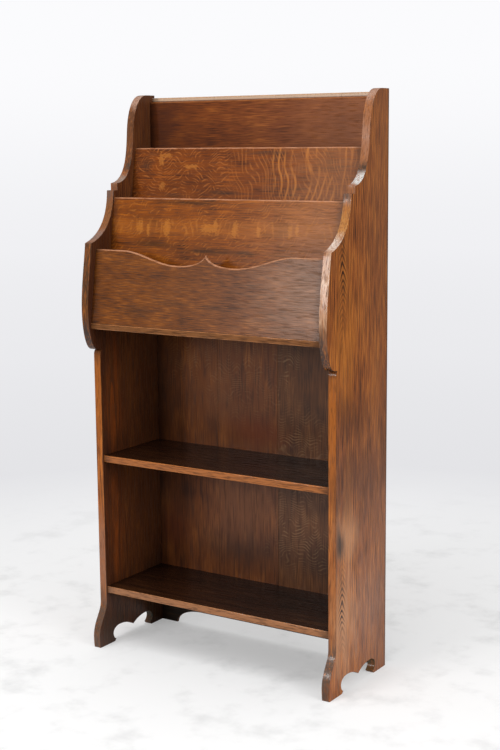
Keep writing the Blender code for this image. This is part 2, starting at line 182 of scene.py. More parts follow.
floor_shape = bmesh.new()
bmesh.ops.create_circle(floor_shape, cap_ends=True, segments=FLOOR_SIDES, radius=FLOOR_RADIUS)
floor_mesh = bpy.data.meshes.new("studio_floor")
floor_shape.to_mesh(floor_mesh)
floor_shape.free()
floor = bpy.data.objects.new("studio_floor", floor_mesh)
bpy.context.scene.collection.objects.link(floor)
floor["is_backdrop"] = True
print("floor disc", 2 * FLOOR_RADIUS, "m across")

# %% Floor tones
FLOOR_WHITE = "#f8f8f8"
BLOTCH_GREY = "#dcdcdc"
BLOTCH_SIZE = 0.12
BLOTCH_EDGE = (0.48, 0.75)
ROOM_GREY = "#505052"
WHITE_FLOOR_END = 1.6
ROOM_START = 3.4
# Tones of the backdrop by their distance from the stand in metres
BACKDROP_TONES = ((1.6, "#e3e3e6"), (4.5, "#eaeaed"), (FLOOR_RADIUS, "#f0f0f3"))

floor_paint = bpy.data.materials.new("white_studio_paint")
floor_paint.use_nodes = True
tree = floor_paint.node_tree
tree.nodes.clear()
place = add(tree, "TexCoord", output="Object")
distance = add(tree, "VectorMath", {0: place}, output="Value", operation="LENGTH")
far = add(tree, "Math", {0: distance, 1: FLOOR_RADIUS}, operation="DIVIDE")
backdrop_tone = add(tree, "ValToRGB", {"Fac": far})
stops = backdrop_tone.node.color_ramp.elements
stops.new(0.5)
for stop, (metres, tone) in zip(stops, BACKDROP_TONES):
    stop.position = metres / FLOOR_RADIUS
    stop.color = linear(tone)
clouds = add(tree, "TexNoise", {"Vector": place, "Scale": 1 / BLOTCH_SIZE, "Detail": 6, "Roughness": 0.6})
blotches = {"Value": clouds, "From Min": BLOTCH_EDGE[0], "From Max": BLOTCH_EDGE[1]}
blotches = add(tree, "MapRange", blotches, **SOFTLY)
room = add(tree, "MapRange", {"Value": distance, "From Min": WHITE_FLOOR_END, "From Max": ROOM_START})
paint_tone = laid_over(tree, linear(FLOOR_WHITE), blotches, 1, BLOTCH_GREY)
paint_tone = laid_over(tree, paint_tone, room, 1, ROOM_GREY)

# %% Floor shader
FLOOR_LIFT = 0.31
FADE_START = 0.45
FADE_END = 1.9

lifted = {"Value": distance, "From Min": FADE_START, "From Max": FADE_END, "To Min": FLOOR_LIFT}
lifted = add(tree, "MapRange", lifted, **SOFTLY)
lifted = add(tree, "Math", {0: lifted, 1: backdrop_share(tree)}, operation="MULTIPLY")
close_by = add(tree, "MapRange", {"Value": distance, "From Min": FADE_END, "From Max": FADE_START})
paint = add(tree, "BsdfDiffuse", {"Color": paint_tone})
glow = add(tree, "Emission", {"Color": laid_over(tree, backdrop_tone, close_by, 1, "#ffffff")})
mixed = add(tree, "MixShader", {0: lifted, 1: paint, 2: glow})
add(tree, "OutputMaterial", {"Surface": mixed})
floor_mesh.materials.append(floor_paint)
print("floor paint of", len(tree.nodes), "nodes")

# %% [markdown]
# Light in a white room comes mostly from above and fades towards the horizon, so the world's fill
# does too. That keeps the compartments dark and the wood's colours deep: an even fill would lay a
# grey haze over every board. The camera sees the wall's tones instead.

# %% World
FILL_AT_HORIZON = 0.12
FILL_OVERHEAD = 0.85
WALL_LOW_TONE = "#f0f0f3"
WALL_HIGH_TONE = "#fbfbfd"
WALL_LOW_SLOPE = -0.08
WALL_HIGH_SLOPE = 0.06

world = bpy.data.worlds.new("studio_air")
bpy.context.scene.world = world
world.use_nodes = True
tree = world.node_tree
tree.nodes.clear()
direction = add(tree, "TexCoord", output="Generated")
slope = add(tree, "SeparateXYZ", {0: direction}, output="Z")
high_up = {"Value": slope, "From Min": WALL_LOW_SLOPE, "From Max": WALL_HIGH_SLOPE}
high_up = add(tree, "MapRange", high_up, **SOFTLY)
wall = laid_over(tree, linear(WALL_LOW_TONE), high_up, 1, WALL_HIGH_TONE)
level = add(tree, "MapRange", {"Value": slope, "To Min": FILL_AT_HORIZON, "To Max": FILL_OVERHEAD})
seen = add(tree, "Background", {"Color": wall})
fill = add(tree, "Background", {"Color": linear("#ffffff"), "Strength": level})
mixed = add(tree, "MixShader", {0: backdrop_share(tree), 1: fill, 2: seen})
add(tree, "OutputWorld", {"Surface": mixed})
print("fill from", FILL_AT_HORIZON, "at the horizon to", FILL_OVERHEAD, "overhead")

# %% [markdown]
# Soft panels do the rest. The main one stands in front, a little to the left and above the stand,
# where no board mirrors it into the camera. Overhead, one draws the bright lines on the boards'
# top edges, and one at the right lights the side board. The glare at the right end of the front
# panel and along the right board's swell comes from a fourth: a small bright window, far to the
# left in front, where those two mirror it.

# %% Light panels
LIGHT_PANELS = {
    # name: (place, aimed at, width, height, watts), in metres
    "ceiling_panel": ((0.1, -0.9, 3.2), (0, 0, 0.6), 1.8, 1.8, 24),
    "front_panel_light": ((-0.6, -3.4, 1.95), (0, 0, 0.75), 0.9, 1.1, 40),
    "window": ((-1.4, -3.1, 1.3), (0.3, 0, 0.85), 0.3, 0.7, 20),
    "right_panel": ((3.2, -0.8, 1.7), (0.3, 0, 0.6), 1.4, 1.8, 38),
}
for name, (spot, target, width, height, watts) in LIGHT_PANELS.items():
    lamp_data = bpy.data.lights.new(name, "AREA")
    lamp_data.shape = "RECTANGLE"
    lamp_data.size = width
    lamp_data.size_y = height
    lamp_data.energy = watts
    lamp = bpy.data.objects.new(name, lamp_data)
    bpy.context.scene.collection.objects.link(lamp)
    lamp.location = spot
    lamp.rotation_euler = (Vector(target) - Vector(spot)).to_track_quat("-Z", "Y").to_euler()
    print(name, "at", spot)

# %% [markdown]
# A saw leaves a board with sharp corners, and sandpaper, hands and a century of dusting round
# them off. The CAD solids keep them sharp. Each piece here is a copy of its solid: the copy's
# loose triangles are merged, flat faces are made whole again, and the edges that a hand can reach
# are bevelled. A number on each face, called worn, goes on at the same time for the polish to
# read: most on the rounded edges, some on the narrow faces between them, none on the broad ones.
# Which is which shows in how far a face is turned from the board's largest one. All faces are
# shaded smooth, but each rounded edge is marked off with sharp edges, or its curve would bend the
# light far into the flat face beside it and the board would look moulded. The CAD mesh brings
# corner normals of its own, which no longer fit, so they go.

# %% Soften a board
MERGE_DISTANCE = 0.02 * MM
FLAT_ANGLE = math.radians(0.5)
CORNER_ANGLE = math.radians(35)
ROUNDING_STEPS = 2
# Cosines of a face's turn from the largest one: a broad face has more than the first of these, and
# a narrow one less than the second
BROAD_TURN = 0.99
NARROW_TURN = 0.1
EDGE_WEAR = 0.45
ROUNDED_WEAR = 1.0


def softened(node, radius_mm, reach=None):
    """A bevelled copy of a CAD node. The test reach says which edges a hand gets to."""
    shape = bmesh.new()
    shape.from_mesh(nodes[node].data)
    bmesh.ops.remove_doubles(shape, verts=shape.verts, dist=MERGE_DISTANCE)
    bmesh.ops.dissolve_limit(shape, angle_limit=FLAT_ANGLE, verts=shape.verts, edges=shape.edges)
    corners = [edge for edge in shape.edges if edge.is_manifold and edge.calc_face_angle() > CORNER_ANGLE]
    corners = [edge for edge in corners if reach is None or reach(edge)]
    rounding = {"offset": radius_mm * MM, "segments": ROUNDING_STEPS, "profile": 0.5}
    bmesh.ops.bevel(shape, geom=corners, affect="EDGES", clamp_overlap=True, **rounding)
    worn = shape.faces.layers.float.new("worn")
    front = max(shape.faces, key=lambda face: face.calc_area()).normal.copy()
    for face in shape.faces:
        face.smooth = True
        turned = abs(face.normal.dot(front))
        face[worn] = 0.0 if turned > BROAD_TURN else EDGE_WEAR if turned < NARROW_TURN else ROUNDED_WEAR
    for edge in shape.edges:
        wear = {face[worn] for face in edge.link_faces}
        bend = edge.calc_face_angle()
        edge.smooth = len(wear) == 1 and (wear == {ROUNDED_WEAR} or bend < CORNER_ANGLE)
    mesh = bpy.data.meshes.new(node + "_soft")
    shape.to_mesh(mesh)
    shape.free()
    if mesh.has_custom_normals:
        mesh.attributes.remove(mesh.attributes["custom_normal"])
    piece = bpy.data.objects.new(node + "_soft", mesh)
    bpy.context.scene.collection.objects.link(piece)
    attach(piece, "root")
    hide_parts(node)
    print(piece.name, "has", len(mesh.polygons), "faces and", len(corners), "softened edges")
    return piece


# %% [markdown]
# The boards are all oak, sawn in two ways. A flat-sawn board is cut across the rings, so its face
# shows long arches and streaks. A quarter-sawn board is cut towards the heart of the tree, so its
# grain is straight and the tree's rays show as bright flecks that cross it. Both can be drawn
# with solid textures: stretched noise for the streaks and pores that run with the grain, rings
# round a heart line that lies beside the board, and waves for the rays.
#
# A solid texture is chosen here, and not a flat one, because then the ends and edges of a board
# match its faces by themselves. Every pattern reads coordinates in which Z runs with the grain, X
# across the board's face and Y through its thickness.

# %% Grain directions
# Rotations that turn the stand's own axes into the grain's
RACK_LEAN = math.radians(8.0)
GRAIN_UP_FACING_FRONT = (0, 0, 0)
GRAIN_UP_FACING_SIDE = (0, 0, -math.pi / 2)
GRAIN_ACROSS_FACING_FRONT = (0, -math.pi / 2, 0)
GRAIN_ACROSS_LEANING = (RACK_LEAN, -math.pi / 2, 0)
GRAIN_ACROSS_FACING_UP = (math.pi / 2, -math.pi / 2, 0)

# %% Start a board


def start_board(node, radius_mm, grain, reach=None, finish_name=None):
    """A softened board with an empty material: its node tree, and coordinates along its grain."""
    board = softened(node, radius_mm, reach)
    finish = bpy.data.materials.new(finish_name or "stained_oak_" + node)
    finish.use_nodes = True
    board.data.materials.append(finish)
    low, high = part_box(node)
    tree = finish.node_tree
    place = add(tree, "TexCoord", output="Object")
    centred = add(tree, "VectorMath", {0: place, 1: (low + high) / 2}, operation="SUBTRACT")
    return tree, add(tree, "Mapping", {"Vector": centred, "Rotation": grain})


# %% [markdown]
# Stretched noise does most of the work. A real pore of oak is about 0.3 mm wide, which is far
# below a pixel of the picture, so pores are drawn several times as wide as they are. The same
# function makes streaks of stain, clouds and patches of rays: only the size of its grains
# changes, and how much of the noise is cut away.

# %% Grained noise


def grained(tree, place, size_mm, seed, detail=2, between=None):
    """Noise with grains of that size across and along the board, cut off where asked."""
    across, along = size_mm
    grains = {"Vector": place, "Location": (seed, seed, seed), "Scale": in_metres(across, across, along)}
    grains = add(tree, "Mapping", grains, vector_type="TEXTURE")
    noise = add(tree, "TexNoise", {"Vector": grains, "Scale": 1.0, "Detail": detail})
    if between is None:
        return noise
    return add(tree, "MapRange", {"Value": noise, "From Min": between[0], "From Max": between[1]}, **SOFTLY)


# %% [markdown]
# Rings are waves round the heart line. The tree never grows evenly, so the place is pushed about
# before the rings are drawn: far and slowly, which opens them into arches and long ovals, and a
# little and quickly, which makes good years and bad ones.

# %% Growth rings
WAVE_PERIOD = 2 * math.pi / 20  # Blender's wave texture has one wave in this length at scale 1
SLOW_WANDER_MM = (60, 420)
QUICK_WANDER_MM = (12, 600)
QUICK_REACH_MM = (6, 6)
RING_FADE = 0.65


def rings(tree, place, heart_mm, spacing_mm, wander_mm, seed):
    """Dark where a year's wood starts and light where it ends. The heart is across and behind the face."""
    # Noise is a half on average, so half of each push is taken off again
    off_mm = [-sum(parts) for parts in zip(heart_mm, Vector(wander_mm) / 2, Vector(QUICK_REACH_MM) / 2)]
    moved = add(tree, "VectorMath", {0: place, 1: in_metres(*off_mm, 0)}, operation="ADD")
    slow = grained(tree, place, SLOW_WANDER_MM, seed).node.outputs["Color"]
    quick = grained(tree, place, QUICK_WANDER_MM, seed + 1)
    for noise, reach_mm in ((slow, wander_mm), (quick, QUICK_REACH_MM)):
        push = {0: noise, 1: in_metres(*reach_mm, 0), 2: moved}
        moved = add(tree, "VectorMath", push, operation="MULTIPLY_ADD")
    years = {"Vector": moved, "Scale": WAVE_PERIOD / (spacing_mm * MM)}
    kind = {"wave_type": "RINGS", "rings_direction": "Z", "wave_profile": "SAW"}
    wave = add(tree, "TexWave", years, output="Fac", **kind)
    return add(tree, "MapRange", {"Value": wave, "From Max": RING_FADE}, **SOFTLY)


# %% [markdown]
# The rays of a quarter-sawn face look like flames: bands that cross the grain and sway this way
# and that. Blender's wave texture draws the bands. Slow noise pushes them along the grain first,
# which makes them sway: by a little over a broad patch for tall flames, and by several widths over
# a small one for curls. A second noise shows them only in patches, as the saw met the rays.

# %% Ray flames
FLAME_WOBBLE = 1.2
FLAME_START = 0.6


def flames(tree, place, pitch_mm, sway_mm, sway_size_mm, patch_mm, shown, seed):
    """Bands across the grain, one in each pitch, that sway, and show in patches: 1 on a flame."""
    slow = grained(tree, place, sway_size_mm, seed, detail=0)
    push = {0: slow, 1: in_metres(0, 0, sway_mm), 2: place}
    moved = add(tree, "VectorMath", push, operation="MULTIPLY_ADD")
    bands = {"Vector": moved, "Scale": WAVE_PERIOD / (pitch_mm * MM), "Distortion": FLAME_WOBBLE, "Detail": 1}
    wave = add(tree, "TexWave", bands, output="Fac", bands_direction="Z")
    flame = add(tree, "MapRange", {"Value": wave, "From Min": FLAME_START}, **SOFTLY)
    patch = grained(tree, place, patch_mm, seed + 0.5, between=shown)
    return add(tree, "Math", {0: flame, 1: patch}, operation="MULTIPLY")


# %% [markdown]
# Some marks have a place of their own: a knot, a cloud of darker stain, a golden patch. A spot is
# a soft ball or a long egg in the board, given by its middle and its reach along the stand's own
# axes. The noise that is added to its edge keeps it from looking round. A spot can also be a
# window through which another pattern shows.

# %% Spots
SPOT_RAGGED = 1.3
SPOT_END = 1.8
SPOT_FULL = 0.6


def spots(tree, marks_mm, ragged, of=1):
    """The pattern in the middle of any mark and 0 outside all of them. A mark is a middle and its reach."""
    place = add(tree, "TexCoord", output="Object")
    shown = 0.0
    for middle, reach in marks_mm:
        inside = {"Vector": place, "Location": in_metres(*middle), "Scale": in_metres(*reach)}
        inside = add(tree, "Mapping", inside, vector_type="TEXTURE")
        far = add(tree, "VectorMath", {0: inside}, output="Value", operation="LENGTH")
        far = add(tree, "Math", {0: ragged, 1: SPOT_RAGGED, 2: far}, operation="MULTIPLY_ADD")
        mark = add(tree, "MapRange", {"Value": far, "From Min": SPOT_END, "From Max": SPOT_FULL}, **SOFTLY)
        shown = add(tree, "Math", {0: mark, 1: shown}, operation="MAXIMUM")
    return add(tree, "Math", {0: shown, 1: of}, operation="MULTIPLY")


# %% [markdown]
# Other things change all along a board: painted shade towards a corner, fading towards the back. A
# ramp along one axis says how much. It follows the stand's own axes, or the grain's where their place
# is given, and it can count away from a middle to both sides.

# %% Ramps


def rising(tree, axis, start_mm, end_mm, place=None, middle_mm=None, fade="SMOOTHSTEP"):
    """0 up to the start and 1 from the end on, along an axis or away from a middle."""
    if place is None:
        place = add(tree, "TexCoord", output="Object")
    along = add(tree, "SeparateXYZ", {0: place}, output=axis)
    if middle_mm is not None:
        along = add(tree, "Math", {0: along, 1: middle_mm * MM}, operation="SUBTRACT")
        along = add(tree, "Math", {0: along}, operation="ABSOLUTE")
    ends = {"Value": along, "From Min": start_mm * MM, "From Max": end_mm * MM}
    return add(tree, "MapRange", ends, interpolation_type=fade)


# %% [markdown]
# The finish is a dark stain under shellac. Stain sinks unevenly, so one number, the tone, is
# added up from all the patterns and read off three colours. Flecks, knots and stains that have a
# colour of their own are laid over it. Then come wear, on the edges, and painted shade, which
# darkens each board in the corners against the side boards.

# %% Stain
TONE_STOPS = (0.15, 0.5, 0.85)


def stained(tree, tones, layers):
    """The tone and its colour. Each layer is a pattern and its weight."""
    tone = 0.5 - sum(weight for pattern, weight in layers) / 2
    for pattern, weight in layers:
        tone = add(tree, "Math", {0: pattern, 1: weight, 2: tone}, operation="MULTIPLY_ADD")
    colour = add(tree, "ValToRGB", {"Fac": tone})
    ramp = colour.node.color_ramp
    ramp.interpolation = "EASE"
    ramp.elements.new(0.5)
    for stop, position, hex_colour in zip(ramp.elements, TONE_STOPS, tones):
        stop.position = position
        stop.color = linear(hex_colour)
    return tone, colour


# %% Corners
HOUSING_DEPTH_MM = 6
# Painted shade: over this reach a board darkens towards the side boards' inner faces
CORNER_SHADE_REACH_MM = 26
CORNER_SHADE_TONE = "#1c0d07"
shelf_low, shelf_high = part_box("bottom_shelf")
# From the stand's middle to a side board's inner face
INNER_MM = (shelf_high.x - shelf_low.x) / 2 / MM - HOUSING_DEPTH_MM
print("the stand is", round(2 * INNER_MM, 1), "mm wide inside")

# %% [markdown]
# Shellac is clear and a little shiny, with an index of refraction of about 1.5. A century has
# crazed it finely, so it mirrors less than it did, and it has sunk into the open pores, which look
# duller still. Where hands and dusters reach, the stain is rubbed through to lighter wood, but the
# surface is smoother, so worn edges catch the light first.

# %% Polish
PORE_MM = (1.6, 32)
PORE_EDGE = (0.5, 0.66)
PORE_DARKNESS = 0.45
PORE_TONE = "#2a1409"
PORE_BUMP = 0.04
PORE_DEPTH_MM = 0.15
RUB_MM = (2.2, 26)
RUB_EDGE = (0.34, 0.56)
SHELLAC_IOR = 1.5
DULL_PORES = 0.15
SMOOTH_WOOD = -0.06
SMOOTH_WEAR = -0.12


def into_shader(tree, patterns):
    """The material's own shader, with patterns linked to its sockets."""
    shader = tree.nodes["Principled BSDF"]
    for socket, pattern in patterns.items():
        tree.links.new(pattern, shader.inputs[socket])
    return shader


def polish(
    tree,
    place,
    seed,
    tones,
    grain,
    overlays=(),
    over_wear=(),
    figure=(),
    worn_tone="#92562b",
    worn=0.8,
    evenly=0.35,
    gloss=0.27,
    shine=0.2,
    corner_shade=0.5,
    pore_mm=PORE_MM,
):
    """Joins the patterns into the shader.

    A row of grain is its size across and along, its seed and its weight. A figure is a pattern and
    its weight. What lies over the stain, or over the wear, is a mask, its strength and its tone.
    """
    streaks = [(grained(tree, place, size_mm, streak), weight) for *size_mm, streak, weight in grain]
    tone, colour = stained(tree, tones, [*figure, *streaks])
    pore = grained(tree, place, pore_mm, seed, detail=1, between=PORE_EDGE)
    for overlay in ((pore, PORE_DARKNESS, PORE_TONE), *overlays):
        colour = laid_over(tree, colour, *overlay)

    # Wear, broken up by the wood's own streaks, and painted shade towards the side boards
    rubbed = add(tree, "Attribute", output="Fac", attribute_name="worn")
    broken = grained(tree, place, RUB_MM, seed + 2, between=RUB_EDGE)
    broken = add(tree, "Math", {0: broken, 1: 1 - evenly, 2: evenly}, operation="MULTIPLY_ADD")
    bare = add(tree, "Math", {0: rubbed, 1: broken}, operation="MULTIPLY")
    # Painted shade in the corners against the side boards
    corner = rising(tree, "X", INNER_MM - CORNER_SHADE_REACH_MM, INNER_MM, middle_mm=0)
    for overlay in ((bare, worn, worn_tone), *over_wear, (corner, corner_shade, CORNER_SHADE_TONE)):
        colour = laid_over(tree, colour, *overlay)

    dull = add(tree, "MapRange", {"Value": tone, "To Min": gloss, "To Max": gloss + SMOOTH_WOOD})
    for pattern, change in ((pore, DULL_PORES), (bare, SMOOTH_WEAR)):
        dull = add(tree, "Math", {0: pattern, 1: change, 2: dull}, operation="MULTIPLY_ADD")
    dents = {"Height": pore, "Strength": PORE_BUMP, "Distance": PORE_DEPTH_MM * MM}
    dents = add(tree, "Bump", dents, invert=True)
    shader = into_shader(tree, {"Base Color": colour, "Roughness": dull, "Normal": dents})
    shader.inputs["IOR"].default_value = SHELLAC_IOR
    shader.inputs["Specular IOR Level"].default_value = shine


# %% [markdown]
# The side boards are flat-sawn, with the heart of the tree behind their front third. Their
# housings are cut in from the inside, and only the outline is rounded. So the edges to round are
# those beside a face of the outline, which runs through the whole thickness of the board.

# %% Edges of a side board
side_low, side_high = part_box("right_side_board")
SIDE_THICKNESS = side_high.x - side_low.x
OUTLINE_TURN = 0.5
OUTLINE_SHARE = 0.9


def on_outline(edge):
    """True for an edge of the side board's own outline, not of a housing cut into it."""
    for face in edge.link_faces:
        across = [corner.co.x for corner in face.verts]
        through = max(across) - min(across) > OUTLINE_SHARE * SIDE_THICKNESS
        if through and abs(face.normal.x) < OUTLINE_TURN:
            return True
    return False


print("side boards", round(SIDE_THICKNESS / MM, 1), "mm thick")

# %% [markdown]
# An arch is where a ring comes to the surface at a slant. A column of them is drawn straight: bands
# across the grain, pushed down more and more to either side of the column's middle line, so that
# each band becomes a pointed arch. Noise moves that middle line and the bands, or the column would
# look printed.

# %% Arches in a column
ARCH_PITCH_MM = 14
ARCH_SPREAD = 1.5
ARCH_TIP_MM = 2.5
ARCH_COLUMN_MM = 21
ARCH_WANDER_MM = 14
ARCH_WANDER_SIZE_MM = (300, 70)
ARCH_SHIFT_MM = 26
ARCH_SHIFT_SIZE_MM = (300, 45)
ARCH_WOBBLE = 1.5
ARCH_LINE = (0.4, 0.8)


def arches(tree, place, across_mm, seed):
    """Small pointed arches above one another, in a narrow column that far across the board."""
    apart = add(tree, "SeparateXYZ", {0: place}).node.outputs
    wander = grained(tree, place, ARCH_WANDER_SIZE_MM, seed)
    aside = add(tree, "Math", {0: wander, 1: -ARCH_WANDER_MM * MM, 2: apart["X"]}, operation="MULTIPLY_ADD")
    middle_mm = across_mm - ARCH_WANDER_MM / 2
    aside = add(tree, "Math", {0: aside, 1: middle_mm * MM}, operation="SUBTRACT")
    # The root of a sum of squares rounds the arches' tips
    square = add(tree, "Math", {0: aside, 1: aside, 2: (ARCH_TIP_MM * MM) ** 2}, operation="MULTIPLY_ADD")
    aside = add(tree, "Math", {0: square, 1: 0.5}, operation="POWER")
    shift = grained(tree, place, ARCH_SHIFT_SIZE_MM, seed + 0.5)
    risen = apart["Z"]
    for pattern, reach in ((aside, ARCH_SPREAD), (shift, ARCH_SHIFT_MM * MM)):
        risen = add(tree, "Math", {0: pattern, 1: reach, 2: risen}, operation="MULTIPLY_ADD")
    bent = add(tree, "CombineXYZ", {"X": apart["X"], "Y": apart["Y"], "Z": risen})
    pitch = WAVE_PERIOD / (ARCH_PITCH_MM * MM)
    bands = {"Vector": bent, "Scale": pitch, "Distortion": ARCH_WOBBLE, "Detail": 1}
    wave = add(tree, "TexWave", bands, output="Fac", bands_direction="Z")
    line = add(tree, "MapRange", {"Value": wave, "From Min": ARCH_LINE[0], "From Max": ARCH_LINE[1]})
    column = {"Value": aside, "From Min": ARCH_COLUMN_MM * MM, "From Max": ARCH_TIP_MM * MM}
    column = add(tree, "MapRange", column, **SOFTLY)
    return add(tree, "Math", {0: line, 1: column}, operation="MULTIPLY")


# %% [markdown]
# The right board has marks that the eye goes to first: a column of small arches near the front
# edge, dark clouds of stain at half height, a golden streak, and a dark knot below it. Low at its
# rear lies a greyish painted reflection of the bright floor. The left one shows its inner face, with
# thin orange lines where a ring comes to the surface in long lenses, a dark top, and painted shade
# over its foot under the bottom shelf. Each mark is a row: how far back and how high its middle
# lies, and how far it reaches both ways.

# %% Marks on the side boards' faces
OUTSIDE_MM = side_high.x / MM
OUTER_DEPTH_MM = 20
INNER_DEPTH_MM = 40


def on_side(x_mm, depth_mm, *rows):
    """Marks on a plane across the stand, from rows of place and reach backwards and upwards."""
    return [((x_mm, y, z), (depth_mm, reach_y, reach_z)) for y, z, reach_y, reach_z in rows]


RIGHT_FACE_MM = {
    "pale": ((-60, 160, 75, 150), (-45, 330, 60, 80)),
    # A greyish painted reflection of the bright floor, low at the rear
    "painted floor reflection": ((50, 150, 120, 130),),
    "gold": (
        (-42, 400, 26, 130),
        (-55, 700, 60, 180),
        (-62, 850, 32, 130),
        (-76, 215, 36, 110),
    ),
    "arched": ((-60, 860, 80, 150), (-74, 195, 80, 120)),
    "clouded": (
        (-70, 545, 24, 75),
        (-98, 485, 18, 160),
        (-30, 560, 130, 80),
        (-10, 440, 300, 120),
        (112, 500, 36, 110),
        (-10, 810, 9, 30),
        (-82, 389, 12, 26),
    ),
    "knot": ((-71, 314, 26, 44),),
}
LEFT_FACE_MM = {
    "dark top": ((90, 1150, 110, 120),),
    "lenses": ((-52, 268, 44, 170), (-48, 560, 40, 190)),
    # Painted shade over the foot, under the bottom shelf
    "painted foot shade": ((-60, 30, 110, 110), (90, 40, 120, 170)),
}
RIGHT_FACE_MM = {name: on_side(OUTSIDE_MM, OUTER_DEPTH_MM, *rows) for name, rows in RIGHT_FACE_MM.items()}
LEFT_FACE_MM = {name: on_side(-OUTSIDE_MM, INNER_DEPTH_MM, *rows) for name, rows in LEFT_FACE_MM.items()}
print("marks on the right face:", ", ".join(RIGHT_FACE_MM), "- on the left:", ", ".join(LEFT_FACE_MM))

# %% [markdown]
# The narrow faces of the outline carry marks of use and painted light. The crown's top and the
# right swell carry painted highlights of the lamps, the left swell is darker, and the bottoms of the
# sweeps have painted highlights of the ceiling, dimmer on the left. The swells' undersides carry
# painted shade and the notch below them a painted shadow. Mops and shoes have made the feet
# greyish, and the dark olive of their rear halves is painted shade under the stand. These marks
# reach right across the stand, and the last two columns say what tone each has on the left and on
# the right board, if any.

# %% Marks on the edges
ACROSS_ALL_MM = 3000
EDGE_MARKS_MM = (
    (40, 1130, 150, 150, "#643f28", "#9a6544"),
    # Painted highlight along the crown's top
    (60, 1212, 60, 26, "#a98470", "#a98470"),
    (22, 1066, 24, 18, "#4a382c", "#4a382c"),
    (-50, 960, 60, 90, "#7c4f2d", "#b07840"),
    (-34, 1012, 26, 26, "#6a5246", "#6a5246"),
    # Painted highlights in the bottoms of the sweeps, dimmer on the left
    (4, 1043, 30, 20, None, "#d2d2ce"),
    (4, 1040, 30, 20, "#8f7a6c", None),
    (-86, 920, 44, 26, None, "#d8c6b8"),
    (-80, 916, 44, 26, "#85685a", None),
    # Painted highlight along the right swell's front edge
    (-140, 850, 60, 190, None, "#c29b7d"),
    (-140, 820, 70, 260, "#4a311e", None),
    (-150, 737, 40, 40, None, "#70452a"),
    # Painted shade under the swells, and a painted shadow in the notch below them
    (-125, 697, 70, 66, "#3c302b", "#3c302b"),
    (-97, 671, 34, 16, "#1a1513", "#1a1513"),
    (-80, 560, 60, 130, "#9b5824", "#9b5824"),
    (-80, 190, 60, 130, "#8c5d43", None),
    (-105, 50, 80, 110, "#594539", "#594539"),
    # Painted shade at the rear feet, under the stand
    (80, 45, 110, 90, "#302c1e", "#4e4634"),
    (128, 600, 10, 2600, "#33241b", "#33241b"),
)
EDGE_MARK_STRENGTH = 3
DARK_ARRIS_MM = on_side(
    0,
    ACROSS_ALL_MM,
    (-100, 330, 100, 560),
    (-100, 700, 100, 90),
    (120, 600, 40, 1600),
)
print(len(EDGE_MARKS_MM), "marks on the edges")

# %% [markdown]
# The two boards share their oak and their edges. Both are paler towards the back and dark along
# the rear rim. Their inner faces are darkened with painted shade, and more of it towards the front.
# Only the marks on their broad faces differ, so one loop makes both.

# %% Side boards
SIDE_TONES = ("#4a2410", "#935124", "#c27532")
SIDE_PORE_MM = (3, 60)
REAR_MM = side_high.y / MM
RIM_MM = 7
